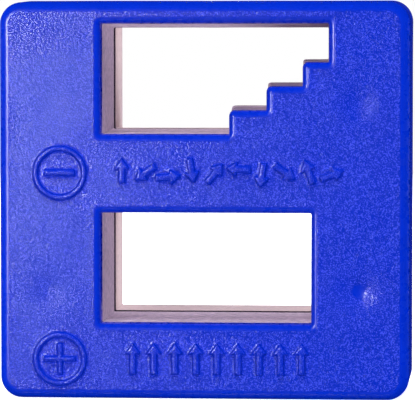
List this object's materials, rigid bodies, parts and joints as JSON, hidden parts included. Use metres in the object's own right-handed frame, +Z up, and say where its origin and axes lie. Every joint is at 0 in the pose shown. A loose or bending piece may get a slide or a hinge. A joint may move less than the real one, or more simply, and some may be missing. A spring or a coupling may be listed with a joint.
{
  "type": "tool magnetizer and demagnetizer block",
  "caption": "Hand-held plastic block with a plain window that magnetizes a screwdriver tip and a stepped window that demagnetizes it.",
  "frame": {"origin": "middle of the base, on the parting plane of the two shells", "axes": "+X across the width towards the stepped side, -Y out of the marked face, +Z up from the base"},
  "size_m": [0.052, 0.0284, 0.05],
  "materials": {
    "blue_case": "fine moulded grain on the faces, smooth edges",
    "grey_liner": "matt, slightly mottled",
    "ferrite": "sintered, dull"
  },
  "bodies": {
    "root": {"front_shell": "blue_case", "rear_shell": "blue_case", "magnetize_liner_front": "grey_liner", "magnetize_liner_rear": "grey_liner", "demagnetize_liner_front": "grey_liner", "demagnetize_liner_rear": "grey_liner", "centre_magnet": "ferrite", "base_magnet": "ferrite"}
  },
  "joints": []
}
